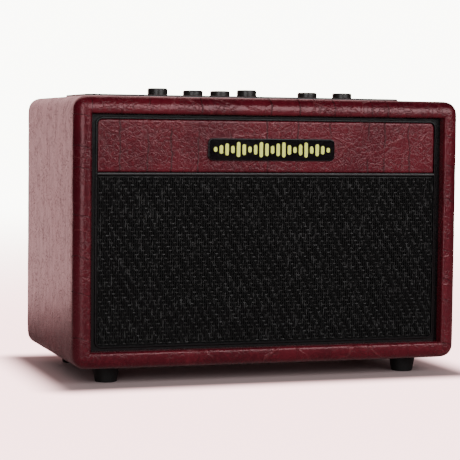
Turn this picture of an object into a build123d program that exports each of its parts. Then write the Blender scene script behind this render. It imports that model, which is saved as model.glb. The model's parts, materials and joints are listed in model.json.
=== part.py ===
from build123d import *
import os
from math import radians, tan

# Desktop guitar amplifier: a vinyl-covered wooden cabinet with two small drivers behind a cloth grille,
# a sunk control tray in the top and sockets in the back. Millimetres. X to the right, Y to the back, Z up.
# The origin is at the middle of the footprint, on the surface that the feet stand on.

# Cabinet
WIDTH = 340.0
DEPTH = 188.0
CABINET_HEIGHT = 222.4
BOARD = 12.5
VINYL = 0.9
CORNER_R = 11.0
FRONT_EDGE_R = 9.5
REAR_EDGE_R = 5.0
FRONT_LINING = 15.0
REAR_RECESS = 3.0

# Feet
FOOT_HEIGHT = 14.0
FOOT_TOP_R = 11.7
FOOT_BOTTOM_R = 9.2
FOOT_EDGE_R = 0.8
FOOT_X = 134.5
FOOT_Y = 59.5
FOOT_SCREW_R = 1.7
FOOT_SCREW_HEAD_R = 3.2
FOOT_SCREW_HEAD = 2.4
FOOT_COUNTERBORE = 5.0
FOOT_SCREW_GAP = 0.3
FOOT_SCREW_TOP = 25.5

# Baffle, battens and rear panel
BAFFLE = 10.0
BATTEN = 12.0
REAR_PANEL = 6.0
PANEL_GAP = 0.5
PANEL_SCREW_R = 1.5
PANEL_SCREW_HEAD_R = 3.1
PANEL_SCREW_HEAD = 1.8
PANEL_SCREW_EDGE_R = 1.2
DRIVE_SLOT = (3.6, 1.6, 0.8)
PANEL_CORNER_R = 1.5
PANEL_SCREW_LENGTH = 14.0
SCREW_CLEARANCE = 0.1

# Grille and fascia, set back from the front of the cabinet
GRILLE_SETBACK = 8.0
GRILLE_FRAME_BACK = 16.0
FRAME_GAP = 0.5
FRAME_CORNER_R = 1.0
WINDOW_CORNER_R = 3.0
ROUND_GAP = 0.05
FRAME_FLAT_SETBACK = 8.9
BEAD_PROUD = 0.4
BEAD_WIDTH = 1.6
FIELD_X = 149.6
FIELD_BOTTOM = 18.4
FIELD_TOP = 203.9
FIELD_CORNER_R = 4.5
CLOTH = 0.8
CLOTH_SETBACK = 9.0
WINDOW_X = 145.0
WINDOW_BOTTOM = 22.5
WINDOW_TOP = 153.5
DIVIDER_BOTTOM = 158.0
DIVIDER_TOP = 160.4
DIVIDER_PROUD = 0.5
DIVIDER_EDGE_R = 1.0
FASCIA_GAP = 0.15
FASCIA_BOARD = 1.0
FASCIA_EDGE_R = 0.8

# Badge
BADGE_WIDTH = 112.0
BADGE_HEIGHT = 18.4
BADGE_THICKNESS = 2.0
BADGE_CORNER_R = 4.0
BADGE_EDGE_R = 0.6
BADGE_MIDDLE = 179.6
BAR_HEIGHTS = (4.0, 7.0, 10.0, 6.0, 12.5, 9.0, 5.0, 8.0, 12.5, 10.5, 6.5)
BAR_WIDTH = 2.9
BAR_PITCH = 5.0
BAR_PROUD = 0.7

# Drivers: distances along the axis are counted backwards from the front of the flange
DRIVER_X = 72.0
DRIVER_Z = 102.0
FLANGE_R = 41.0
FLANGE = 3.0
BAFFLE_HOLE_R = 36.5
DRIVER_SCREW_RING_R = 38.3
FLANGE_HOLE_R = 1.7
SPEAKER_SCREW_R = 1.2
SPEAKER_SCREW_DEPTH = 8.0
SPEAKER_SCREW_HEAD_R = 2.6
SPEAKER_SCREW_HEAD = 1.6
BASKET_WINDOW = (24.0, 7.0, 26.0)
BASKET_WINDOW_R = 30.0
BASKET_WINDOW_BACK = 8.8
TERMINAL = (14.0, 4.0, 4.0)
TERMINAL_BACK = 18.0
TERMINAL_DROP = 27.0
ROLL_R = 32.0
ROLL_OUTER_R = 4.0
ROLL_INNER_R = 3.3
ROLL_BACK = 2.0

# Control tray in the top
TRAY_WIDTH = 288.0
TRAY_DEPTH = 84.0
TRAY_Y = 16.0
TRAY_CORNER_R = 8.0
RIM_HEIGHT = 2.6
RIM_EDGE_R = 1.1
TRAY_WALL_X = 139.0
TRAY_WALL_Y = 38.5
TRAY_WALL = 2.0
TRAY_SUNK = 5.0
TRAY_FLOOR = 2.4
TRAY_BOX_CORNER_R = 4.0
TRAY_POCKET_CORNER_R = 3.0
TRAY_POST_R = 3.0
TRAY_POST_X = (-98.0, 92.0)
TRAY_POST_Y = 26.0
CUTOUT_GAP = 0.5
CONTROL_Y = 14.0

# Knobs: middle, and height of the top above the cabinet
KNOB_R = 8.75
KNOB_FLOOR_GAP = 0.6
KNOB_EDGE_R = 1.5
POINTER_GROOVE = (1.2, 5.4, 0.8)
POINTER_OFFSET = 5.0
KNOBS = {
    "voice": (-70.7, 9.2),
    "gain": (-38.3, 7.8),
    "tone": (-13.1, 7.8),
    "effect": (12.0, 9.0),
    "echo": (69.9, 7.8),
    "volume": (103.8, 7.8),
}
SHAFT_R = 3.0
SHAFT_HOLE_R = 3.6
KNOB_ROOF = 3.0
SHAFT_FOOT = 2.0
POT_WIDTH = 12.0
POT_HEIGHT = 7.0
BUSHING_R = 4.6
POT_CORNER_R = 0.8
SHAFT_GAP = 0.1

# Push buttons: middle, radius, travel
BUTTONS = {
    "modulation": (28.5, 3.6, 0.8),
    "delay": (41.0, 3.6, 0.8),
    "reverb": (53.5, 3.6, 0.8),
    "power": (124.0, 4.5, 1.5),
}
BUTTON_PROUD = 3.2
BUTTON_GAP = 0.25
BUTTON_EDGE_R = 0.7
COLLAR_PROUD = 1.2
COLLAR_HEIGHT = 1.2
COLLAR_GAP = 0.1
PLUNGER_R = 1.6
SWITCH_WIDTH = 6.2
SWITCH_HEIGHT = 4.0
SWITCH_CORNER_R = 0.5
LED_R = 1.5
LED_GAP = 0.05
LED_PROUD = 0.8
LED_EDGE_R = 0.7
LED_Y = 26.0
LED_X = (28.5, 41.0, 53.5, 124.0)

# Boards inside
PCB = 1.6
CONTROL_BOARD_DROP = 9.4
CONTROL_BOARD_X = (-103.0, 132.0)
CONTROL_BOARD_DEPTH = 60.0
BOARD_CORNER_R = 1.0
CHIP_WIDTH = 12.0
CHIP_HEIGHT = 1.6
CHIP_X = (-60.0, 0.0)
CHIP_Y = 34.0
AMP_BOARD_WIDTH = 124.0
AMP_BOARD_HEIGHT = 60.0
AMP_BOARD_Z = 82.0
AMP_BOARD_BACK = 69.6
CAPACITOR_R = 5.0
CAPACITOR_HEIGHT = 16.0
CAPACITOR_X = (-48.0, -36.0, 40.0, 52.0)
CAPACITOR_DROP = 14.0
HEAT_SINK = (30.0, 20.0, 8.0)
HEAT_SINK_DROP = 12.0
LEAD_CONNECTOR_WIDTH = 10.0
LEAD_CONNECTOR_HEIGHT = 6.0

# Sockets
JACK_X = -116.0
JACK_BORE_R = 3.2
JACK_BARREL_R = 4.6
JACK_BODY = 17.0
JACK_DEPTH = 22.0
JACK_BOTTOM = 3.0
JACK_PROUD = 2.8
JACK_CORNER_R = 1.5
NUT_R = 7.4
NUT_HEIGHT = 2.2
SOCKET_Z = 78.0
SOCKET_PLATE = (104.0, 30.0, 2.0)
SOCKET_PLATE_CORNER_R = 3.0
SOCKET_PLATE_EDGE_R = 0.8
AUDIO_X = (-16.0, 6.0)
AUDIO_BORE_R = 1.8
AUDIO_R = 4.0
AUDIO_BODY = (10.0, 9.0)
AUDIO_BORE = 15.0
DC_X = -38.0
DC_R = 5.2
DC_BODY = 11.0
DC_BORE_R = 3.2
DC_PIN_R = 1.0
USB_X = 32.0
USB_WIDTH = 12.0
USB_HEIGHT = 10.8
USB_WALL = 0.7
USB_CORNER_R = 0.5
USB_TONGUE = (8.0, 1.8)
USB_TONGUE_RISE = 2.8
SOCKET_DEPTH = 10.0
SOCKET_GAP = 0.2
SOCKET_BODY_GAP = 0.5
COLLAR_START = 2.0

# Speaker leads: from the connectors on the amplifier board to the terminals of the drivers
LEAD_R = 1.3
LEAD_START_X = 20.0
LEAD_START_Z = 100.0
LEAD_CONNECTOR = 6.0
LEAD_END_Z = DRIVER_Z - TERMINAL_DROP
LEAD_ROUTE = [
    (LEAD_START_X, 46.0, LEAD_START_Z),
    (32.0, 22.0, 86.0),
    (50.0, -8.0, 72.0),
    (66.0, -30.0, 69.0),
    (DRIVER_X, -46.0, LEAD_END_Z),
]
BEND_SHARE = 0.45

# Modelling allowances: how far a cutting shape runs past a face, and how far joined shapes overlap
CUT = 1.0
LAP = 0.1

# Levels worked out from the sizes above
BASE = FOOT_HEIGHT
TOP = BASE + CABINET_HEIGHT
MIDDLE = BASE + CABINET_HEIGHT / 2
FRONT = -DEPTH / 2
REAR = DEPTH / 2
WALL = BOARD + 2 * VINYL
INNER_X = WIDTH / 2 - VINYL - BOARD
INNER_BOTTOM = BASE + VINYL + BOARD
INNER_TOP = TOP - VINYL - BOARD
INNER_HEIGHT = INNER_TOP - INNER_BOTTOM
OPENING_WIDTH = WIDTH - 2 * WALL
OPENING_HEIGHT = CABINET_HEIGHT - 2 * WALL
BAFFLE_FRONT = FRONT + GRILLE_FRAME_BACK
BAFFLE_BACK = BAFFLE_FRONT + BAFFLE
PANEL_BACK = REAR - REAR_RECESS
PANEL_FRONT = PANEL_BACK - REAR_PANEL
FASCIA_FRONT = FRONT + GRILLE_SETBACK
FASCIA_BACK = FASCIA_FRONT + 2 * VINYL + FASCIA_BOARD
CLOTH_FRONT = FRONT + CLOTH_SETBACK
BADGE_FRONT = FASCIA_FRONT - BADGE_THICKNESS
FLOOR_TOP = TOP - TRAY_SUNK
FLOOR_BOTTOM = FLOOR_TOP - TRAY_FLOOR
CONTROL_BOARD_TOP = FLOOR_BOTTOM - CONTROL_BOARD_DROP
FLANGE_FRONT = BAFFLE_FRONT - FLANGE


def upright(width, height, x, z, y_from, y_to, radius=0.0):
    """Plate that stands in the XZ plane, from y_from back to y_to."""
    outline = RectangleRounded(width, height, radius) if radius else Rectangle(width, height)
    plane = Plane(origin=(x, y_to, z), x_dir=(1, 0, 0), z_dir=(0, -1, 0))
    return extrude(plane * outline, y_to - y_from)


def level(width, depth, x, y, z_from, z_to, radius=0.0):
    """Plate that lies flat, from z_from up to z_to."""
    outline = RectangleRounded(width, depth, radius) if radius else Rectangle(width, depth)
    return extrude(Pos(x, y, z_from) * outline, z_to - z_from)


def post(radius, x, y, z_from, z_to):
    """Upright round bar."""
    return extrude(Pos(x, y, z_from) * Circle(radius), z_to - z_from)


def rod(radius, x, z, y_from, y_to):
    """Round bar along the depth."""
    plane = Plane(origin=(x, y_to, z), x_dir=(1, 0, 0), z_dir=(0, -1, 0))
    return extrude(plane * Circle(radius), y_to - y_from)


def turned_post(outline, x, y, z):
    """Outline of (radius, height) points turned about an upright axis."""
    face = make_face(Polyline([(r, 0, h) for r, h in outline], close=True))
    return Pos(x, y, z) * revolve(face, Axis.Z)


def turned_driver(outline, x):
    """Outline of (radius, distance behind the flange) points turned about a driver's axis."""
    face = make_face(Polyline([(r, back, 0) for r, back in outline], close=True))
    return Pos(x, FLANGE_FRONT, DRIVER_Z) * revolve(face, Axis.Y)


def case(inset):
    """The cabinet's outer form, moved inwards by inset."""
    height = CABINET_HEIGHT - 2 * inset
    form = Pos(0, 0, MIDDLE) * Box(WIDTH - 2 * inset, DEPTH - 2 * inset, height)
    form = fillet(form.edges().filter_by(Axis.Y), CORNER_R - inset)
    form = fillet(form.faces().sort_by(Axis.Y)[0].edges(), FRONT_EDGE_R - inset)
    return fillet(form.faces().sort_by(Axis.Y)[-1].edges(), REAR_EDGE_R - inset)


def tray_cutout():
    """Space that the control tray drops into."""
    half_x = TRAY_WALL_X + CUTOUT_GAP
    half_y = TRAY_WALL_Y + CUTOUT_GAP
    return level(2 * half_x, 2 * half_y, 0, TRAY_Y, INNER_TOP - CUT, TOP + CUT)


def foot_places():
    return [(x, y) for x in (-FOOT_X, FOOT_X) for y in (-FOOT_Y, FOOT_Y)]


def foot_screw_holes():
    radius = FOOT_SCREW_R + SCREW_CLEARANCE
    return [post(radius, x, y, BASE - CUT, FOOT_SCREW_TOP + CUT / 2) for x, y in foot_places()]


def lining(y_from, y_to):
    """Vinyl turned in around the edge of an opening."""
    outer = upright(2 * INNER_X, INNER_HEIGHT, 0, MIDDLE, y_from, y_to)
    return outer - upright(OPENING_WIDTH, OPENING_HEIGHT, 0, MIDDLE, y_from, y_to)


def vinyl_covering():
    skin = case(0) - case(VINYL)
    skin -= upright(OPENING_WIDTH, OPENING_HEIGHT, 0, MIDDLE, FRONT - CUT, REAR + CUT)
    skin += lining(FRONT + VINYL, FRONT + FRONT_LINING)
    skin += lining(PANEL_FRONT, REAR - VINYL)
    return skin - [tray_cutout()] - foot_screw_holes()


def boards():
    """The four cabinet boards: full-height sides, and a top and bottom between them."""
    ring = case(VINYL) - upright(2 * INNER_X, INNER_HEIGHT, 0, MIDDLE, FRONT - CUT, REAR + CUT)
    side = WIDTH / 2 - INNER_X
    side_x = INNER_X + side / 2
    cap = WALL + CUT
    left = ring & upright(side, CABINET_HEIGHT, -side_x, MIDDLE, FRONT, REAR)
    right = ring & upright(side, CABINET_HEIGHT, side_x, MIDDLE, FRONT, REAR)
    bottom = ring & upright(2 * INNER_X, cap, 0, BASE + cap / 2, FRONT, REAR)
    top = ring & upright(2 * INNER_X, cap, 0, TOP - cap / 2, FRONT, REAR)
    return {
        "left_board": left,
        "right_board": right,
        "bottom_board": bottom - foot_screw_holes(),
        "top_board": top - tray_cutout(),
    }


def panel_screw_places():
    """Screws around the rear panel, in the middle of the battens behind it."""
    edge_x = INNER_X - BATTEN / 2
    edge_top = INNER_TOP - BATTEN / 2
    edge_bottom = INNER_BOTTOM + BATTEN / 2
    corners = [(x, z) for x in (-edge_x, edge_x) for z in (edge_bottom, edge_top)]
    return corners + [(-edge_x / 3, edge_top), (edge_x / 3, edge_top)] + [
        (-edge_x / 3, edge_bottom), (edge_x / 3, edge_bottom)]


def batten_frame(y_from, y_to):
    """Two upright strips, and two level strips between them."""
    inner_x = INNER_X - BATTEN
    parts = []
    for sign in (-1, 1):
        parts.append(upright(BATTEN, INNER_HEIGHT, sign * (INNER_X - BATTEN / 2), MIDDLE, y_from, y_to))
        z = MIDDLE + sign * (INNER_HEIGHT - BATTEN) / 2
        parts.append(upright(2 * inner_x, BATTEN, 0, z, y_from, y_to))
    return parts


def battens():
    radius = PANEL_SCREW_R + SCREW_CLEARANCE
    deep = PANEL_BACK - PANEL_SCREW_LENGTH - CUT / 2
    holes = [rod(radius, x, z, deep, PANEL_FRONT + CUT) for x, z in panel_screw_places()]
    rear = [strip - holes for strip in batten_frame(PANEL_FRONT - BATTEN, PANEL_FRONT)]
    return Compound(children=batten_frame(BAFFLE_BACK, BAFFLE_BACK + BATTEN) + rear)


def driver_screw_places():
    """Four screws on the diagonals of each driver's flange."""
    offset = DRIVER_SCREW_RING_R * 0.5 ** 0.5
    return [(x + dx, DRIVER_Z + dz) for x in (-DRIVER_X, DRIVER_X)
            for dx in (-offset, offset) for dz in (-offset, offset)]


def baffle_board():
    board = upright(2 * INNER_X, INNER_HEIGHT, 0, MIDDLE, BAFFLE_FRONT, BAFFLE_BACK)
    for x in (-DRIVER_X, DRIVER_X):
        board -= rod(BAFFLE_HOLE_R, x, DRIVER_Z, BAFFLE_FRONT - CUT, BAFFLE_BACK + CUT)
    radius = SPEAKER_SCREW_R + SCREW_CLEARANCE
    for x, z in driver_screw_places():
        board -= rod(radius, x, z, BAFFLE_FRONT - CUT, BAFFLE_FRONT + SPEAKER_SCREW_DEPTH + CUT / 2)
    return board


def field(inset, z_from, z_to, y_from, y_to):
    """Plate with the rounded outline of the space inside the grille frame, cut off at two heights."""
    height = FIELD_TOP - FIELD_BOTTOM - 2 * inset
    z = BASE + (FIELD_TOP + FIELD_BOTTOM) / 2
    plate = upright(2 * (FIELD_X - inset), height, 0, z, y_from, y_to, FIELD_CORNER_R - inset)
    band = upright(WIDTH, z_to - z_from, 0, BASE + (z_from + z_to) / 2, y_from, y_to)
    return plate & band


def grille_frame():
    width = OPENING_WIDTH - 2 * FRAME_GAP
    height = OPENING_HEIGHT - 2 * FRAME_GAP
    frame = upright(width, height, 0, MIDDLE, FRONT + FRAME_FLAT_SETBACK, BAFFLE_FRONT, FRAME_CORNER_R)
    bead = field(-BEAD_WIDTH, 0, CABINET_HEIGHT, FASCIA_FRONT - BEAD_PROUD, FRONT + FRAME_FLAT_SETBACK)
    bead = fillet(bead.faces().sort_by(Axis.Y)[0].edges(), BEAD_WIDTH / 2 - ROUND_GAP)
    frame += bead
    frame -= field(0, 0, CABINET_HEIGHT, FRONT, CLOTH_FRONT + CLOTH)
    frame -= field(0, DIVIDER_BOTTOM, CABINET_HEIGHT, FRONT, FASCIA_BACK)
    window_z = BASE + (WINDOW_TOP + WINDOW_BOTTOM) / 2
    window_height = WINDOW_TOP - WINDOW_BOTTOM
    window = upright(2 * WINDOW_X, window_height, 0, window_z, FRONT, BAFFLE_FRONT + CUT, WINDOW_CORNER_R)
    return frame - window


def grille_cloth():
    return field(FASCIA_GAP, 0, DIVIDER_BOTTOM, CLOTH_FRONT, CLOTH_FRONT + CLOTH)


def fascia_board():
    inset = FASCIA_GAP + VINYL
    bottom = DIVIDER_TOP + FASCIA_GAP + VINYL
    return field(inset, bottom, CABINET_HEIGHT, FASCIA_FRONT + VINYL, FASCIA_BACK)


def fascia_covering():
    """Vinyl over the front and edges of the fascia board."""
    strip = field(FASCIA_GAP, DIVIDER_TOP + FASCIA_GAP, CABINET_HEIGHT, FASCIA_FRONT, FASCIA_BACK)
    strip = fillet(strip.faces().sort_by(Axis.Y)[0].edges(), FASCIA_EDGE_R)
    return strip - fascia_board()


def divider_bead():
    front = FASCIA_FRONT - DIVIDER_PROUD
    height = DIVIDER_TOP - DIVIDER_BOTTOM
    z = BASE + (DIVIDER_TOP + DIVIDER_BOTTOM) / 2
    bead = upright(2 * (FIELD_X - FASCIA_GAP), height, 0, z, front, FASCIA_BACK)
    return fillet(bead.faces().sort_by(Axis.Y)[0].edges().filter_by(Axis.X), DIVIDER_EDGE_R)


def badge_plate():
    z = BASE + BADGE_MIDDLE
    plate = upright(BADGE_WIDTH, BADGE_HEIGHT, 0, z, BADGE_FRONT, FASCIA_FRONT, BADGE_CORNER_R)
    return fillet(plate.faces().sort_by(Axis.Y)[0].edges(), BADGE_EDGE_R)


def badge_bars():
    """Row of raised level bars, mirrored about the middle of the badge."""
    bars = []
    for step, height in enumerate(reversed(BAR_HEIGHTS)):
        for sign in ((0,) if step == 0 else (-1, 1)):
            bar = upright(BAR_WIDTH, height, sign * step * BAR_PITCH, BASE + BADGE_MIDDLE,
                          BADGE_FRONT - BAR_PROUD, BADGE_FRONT, BAR_WIDTH / 2 - ROUND_GAP)
            bars.append(bar)
    return Compound(children=bars)


def basket(x):
    """Pressed frame: flange, sloping wall with four windows, spider landing and back plate."""
    outline = [(36.0, 0), (FLANGE_R, 0), (FLANGE_R, FLANGE), (35.8, FLANGE), (25.5, 14), (25.5, 22),
               (9.8, 22), (9.8, 20), (24.0, 20), (24.0, 14), (33.6, 3.4), (33.6, 2.0), (36.0, 2.0)]
    frame = turned_driver(outline, x)
    middle = Pos(x, FLANGE_FRONT + BASKET_WINDOW_BACK, DRIVER_Z)
    for angle in (0, 90, 180, 270):
        frame -= middle * Rot(0, angle, 0) * Pos(BASKET_WINDOW_R, 0, 0) * Box(*BASKET_WINDOW)
    terminal = Pos(x, FLANGE_FRONT + TERMINAL_BACK, DRIVER_Z - TERMINAL_DROP) * Box(*TERMINAL)
    return frame + terminal - drilled_flange(x)


def drilled_flange(x):
    return [rod(FLANGE_HOLE_R, sx, sz, FLANGE_FRONT - CUT, BAFFLE_FRONT) for sx, sz in driver_screw_places()
            if abs(sx - x) < FLANGE_R]


def magnet(x):
    """Plates, ring magnet and pole piece, with the gap that the voice coil moves in."""
    outline = [(0, 22), (7.5, 22), (7.5, 34), (9.5, 34), (9.5, 22), (20, 22), (20, 25), (24, 25),
               (24, 35), (20, 35), (20, 38), (0, 38)]
    return turned_driver(outline, x)


def cone(x):
    """Paper cone with its dome, pressed in one piece."""
    outline = [(28.0, 2.0), (27.6, 3.0), (9.0, 14.6), (8.2, 15.0), (7.4, 14.2), (6.0, 12.2), (3.2, 10.8),
               (0, 10.3), (0, 9.5), (3.4, 10.0), (6.5, 11.6), (8.2, 13.8), (26.8, 2.0)]
    return turned_driver(outline, x)


def voice_coil(x):
    return turned_driver([(8.2, 15.0), (8.8, 15.0), (8.8, 30.0), (8.2, 30.0)], x)


def surround(x):
    """Half-round roll between the cone and the flange."""
    middle = Pos(x, FLANGE_FRONT, DRIVER_Z)
    ring = Pos(ROLL_R, ROLL_BACK, 0) * (Circle(ROLL_OUTER_R) - Circle(ROLL_INNER_R))
    front_half = Pos(ROLL_R, ROLL_BACK - ROLL_OUTER_R / 2, 0) * Rectangle(2 * ROLL_OUTER_R, ROLL_OUTER_R)
    roll = ring & front_half
    return middle * revolve(roll, Axis.Y)


def spider(x):
    return turned_driver([(8.85, 16.0), (11, 15.4), (14, 16.2), (17, 15.4), (20, 16.2), (24, 16.0),
                          (24, 16.6), (20, 16.8), (17, 16.0), (14, 16.8), (11, 16.0), (8.85, 16.6)], x)


def speaker_screws():
    screws = []
    for x, z in driver_screw_places():
        head = rod(SPEAKER_SCREW_HEAD_R, x, z, FLANGE_FRONT - SPEAKER_SCREW_HEAD, FLANGE_FRONT)
        shank = rod(SPEAKER_SCREW_R, x, z, FLANGE_FRONT - LAP, BAFFLE_FRONT + SPEAKER_SCREW_DEPTH)
        screws.append(head + shank)
    return Compound(children=screws)


def socket_holes(y_from, y_to):
    """Openings for the sockets, through whatever lies between two depths."""
    holes = [rod(AUDIO_R + SOCKET_GAP, x, SOCKET_Z, y_from, y_to) for x in AUDIO_X]
    holes.append(rod(DC_R + SOCKET_GAP, DC_X, SOCKET_Z, y_from, y_to))
    width = USB_WIDTH + 2 * SOCKET_GAP
    height = USB_HEIGHT + 2 * SOCKET_GAP
    holes.append(upright(width, height, USB_X, SOCKET_Z, y_from, y_to))
    return holes


def rear_panel():
    width = OPENING_WIDTH - 2 * PANEL_GAP
    height = OPENING_HEIGHT - 2 * PANEL_GAP
    panel = upright(width, height, 0, MIDDLE, PANEL_FRONT, PANEL_BACK, PANEL_CORNER_R)
    radius = PANEL_SCREW_R + SCREW_CLEARANCE
    screw_holes = [rod(radius, x, z, PANEL_FRONT - CUT, PANEL_BACK + CUT) for x, z in panel_screw_places()]
    return panel - screw_holes - socket_holes(PANEL_FRONT - CUT, PANEL_BACK + CUT)


def rear_panel_screws():
    screws = []
    for x, z in panel_screw_places():
        head = rod(PANEL_SCREW_HEAD_R, x, z, PANEL_BACK, PANEL_BACK + PANEL_SCREW_HEAD)
        head = fillet(head.faces().sort_by(Axis.Y)[-1].edges(), PANEL_SCREW_EDGE_R)
        slot = [Pos(x, PANEL_BACK + PANEL_SCREW_HEAD, z) * Rot(0, turn, 0) * Box(*DRIVE_SLOT)
                for turn in (0, 90)]
        shank = rod(PANEL_SCREW_R, x, z, PANEL_BACK - PANEL_SCREW_LENGTH, PANEL_BACK + LAP)
        screws.append(head - slot + shank)
    return Compound(children=screws)


def socket_plate():
    width, height, thickness = SOCKET_PLATE
    plate = upright(width, height, 0, SOCKET_Z, PANEL_BACK, PANEL_BACK + thickness, SOCKET_PLATE_CORNER_R)
    plate = fillet(plate.faces().sort_by(Axis.Y)[-1].edges(), SOCKET_PLATE_EDGE_R)
    return plate - socket_holes(PANEL_BACK - CUT, PANEL_BACK + thickness + CUT)


def audio_sockets():
    sockets = []
    back = PANEL_BACK + SOCKET_PLATE[2]
    for x in AUDIO_X:
        body = upright(*AUDIO_BODY, x, SOCKET_Z, AMP_BOARD_BACK, PANEL_FRONT - SOCKET_BODY_GAP)
        body += rod(AUDIO_R, x, SOCKET_Z, AMP_BOARD_BACK + COLLAR_START, back)
        sockets.append(body - rod(AUDIO_BORE_R, x, SOCKET_Z, back - AUDIO_BORE, back + CUT))
    return Compound(children=sockets)


def dc_socket():
    back = PANEL_BACK + SOCKET_PLATE[2]
    body = upright(DC_BODY, DC_BODY, DC_X, SOCKET_Z, AMP_BOARD_BACK, PANEL_FRONT - SOCKET_BODY_GAP)
    body += rod(DC_R, DC_X, SOCKET_Z, AMP_BOARD_BACK + COLLAR_START, back)
    body -= rod(DC_BORE_R, DC_X, SOCKET_Z, back - SOCKET_DEPTH, back + CUT)
    return body + rod(DC_PIN_R, DC_X, SOCKET_Z, back - SOCKET_DEPTH - CUT / 2, back - CUT)


def usb_socket():
    back = PANEL_BACK + SOCKET_PLATE[2]
    width = USB_WIDTH - 2 * USB_WALL
    height = USB_HEIGHT - 2 * USB_WALL
    tongue_z = SOCKET_Z + USB_TONGUE_RISE
    body = upright(USB_WIDTH, USB_HEIGHT, USB_X, SOCKET_Z, AMP_BOARD_BACK, back, USB_CORNER_R)
    body -= upright(width, height, USB_X, SOCKET_Z, back - SOCKET_DEPTH, back + CUT)
    return body + upright(*USB_TONGUE, USB_X, tongue_z, back - SOCKET_DEPTH - CUT / 2, back - CUT)


def tray_posts():
    """Places of the posts that carry the control board."""
    return [(x, TRAY_Y + dy) for x in TRAY_POST_X for dy in (-TRAY_POST_Y, TRAY_POST_Y)]


def control_tray():
    rim = level(TRAY_WIDTH, TRAY_DEPTH, 0, TRAY_Y, TOP, TOP + RIM_HEIGHT, TRAY_CORNER_R)
    rim = fillet(rim.faces().sort_by(Axis.Z)[-1].edges(), RIM_EDGE_R)
    box = level(2 * TRAY_WALL_X, 2 * TRAY_WALL_Y, 0, TRAY_Y, FLOOR_BOTTOM, TOP, TRAY_BOX_CORNER_R)
    high = TOP + RIM_HEIGHT + CUT
    pocket_x = TRAY_WALL_X - TRAY_WALL
    pocket_y = TRAY_WALL_Y - TRAY_WALL
    tray = rim + box - level(2 * pocket_x, 2 * pocket_y, 0, TRAY_Y, FLOOR_TOP, high, TRAY_POCKET_CORNER_R)
    for x, y in tray_posts():
        tray += post(TRAY_POST_R, x, y, CONTROL_BOARD_TOP, FLOOR_BOTTOM + LAP)
    for x, _ in KNOBS.values():
        tray -= post(SHAFT_HOLE_R, x, CONTROL_Y, FLOOR_BOTTOM - CUT, FLOOR_TOP + CUT)
    for x, radius, _ in BUTTONS.values():
        tray -= post(radius + BUTTON_GAP, x, CONTROL_Y, FLOOR_BOTTOM - CUT, FLOOR_TOP + CUT)
    for x in LED_X:
        tray -= post(LED_R + LED_GAP, x, LED_Y, FLOOR_BOTTOM - CUT, FLOOR_TOP + CUT)
    return tray - post(JACK_BARREL_R + SOCKET_GAP, JACK_X, CONTROL_Y, FLOOR_BOTTOM - CUT, FLOOR_TOP + CUT)


def knob(x, top):
    """Smooth round knob with a soft top edge and a pointer groove in its top."""
    low = FLOOR_TOP + KNOB_FLOOR_GAP
    high = TOP + top
    body = post(KNOB_R, x, CONTROL_Y, low, high)
    body = fillet(body.faces().sort_by(Axis.Z)[-1].edges(), KNOB_EDGE_R)
    body -= Pos(x, CONTROL_Y - POINTER_OFFSET, high) * Box(*POINTER_GROOVE)
    return body - post(SHAFT_R, x, CONTROL_Y, low - CUT, high - KNOB_ROOF)


def shaft(x, top):
    return post(SHAFT_R, x, CONTROL_Y, CONTROL_BOARD_TOP + SHAFT_FOOT, TOP + top - KNOB_ROOF)


def pot_bodies():
    """Potentiometers and rotary selectors on the control board."""
    bodies = []
    pot_top = CONTROL_BOARD_TOP + POT_HEIGHT
    shaft_low = CONTROL_BOARD_TOP + SHAFT_FOOT - SHAFT_GAP
    for x, _ in KNOBS.values():
        body = level(POT_WIDTH, POT_WIDTH, x, CONTROL_Y, CONTROL_BOARD_TOP, pot_top, POT_CORNER_R)
        body += post(BUSHING_R, x, CONTROL_Y, pot_top - LAP, FLOOR_BOTTOM)
        bodies.append(body - post(SHAFT_R + SHAFT_GAP, x, CONTROL_Y, shaft_low, FLOOR_BOTTOM + CUT))
    return Compound(children=bodies)


def control_board():
    left, right = CONTROL_BOARD_X
    low = CONTROL_BOARD_TOP - PCB
    high = CONTROL_BOARD_TOP
    board = level(right - left, CONTROL_BOARD_DEPTH, (left + right) / 2, TRAY_Y, low, high, BOARD_CORNER_R)
    return board + [level(CHIP_WIDTH, CHIP_WIDTH, x, CHIP_Y, high, high + CHIP_HEIGHT) for x in CHIP_X]


def button(x, radius, travel):
    """Round key with a collar that stops it under the tray floor."""
    switch_top = CONTROL_BOARD_TOP + SWITCH_HEIGHT
    collar_top = FLOOR_BOTTOM - COLLAR_GAP
    collar_low = collar_top - COLLAR_HEIGHT
    key = post(radius, x, CONTROL_Y, collar_low, FLOOR_TOP + BUTTON_PROUD)
    key = fillet(key.faces().sort_by(Axis.Z)[-1].edges(), BUTTON_EDGE_R)
    key += post(radius + COLLAR_PROUD, x, CONTROL_Y, collar_low, collar_top)
    return key + post(PLUNGER_R, x, CONTROL_Y, switch_top + travel + COLLAR_GAP, collar_low + LAP)


def switch_bodies():
    low = CONTROL_BOARD_TOP
    bodies = [level(SWITCH_WIDTH, SWITCH_WIDTH, x, CONTROL_Y, low, low + SWITCH_HEIGHT, SWITCH_CORNER_R)
              for x, _, _ in BUTTONS.values()]
    return Compound(children=bodies)


def led_lenses():
    lenses = []
    for x in LED_X:
        lens = post(LED_R, x, LED_Y, CONTROL_BOARD_TOP, FLOOR_TOP + LED_PROUD)
        lenses.append(fillet(lens.faces().sort_by(Axis.Z)[-1].edges(), LED_EDGE_R))
    return Compound(children=lenses)


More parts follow.
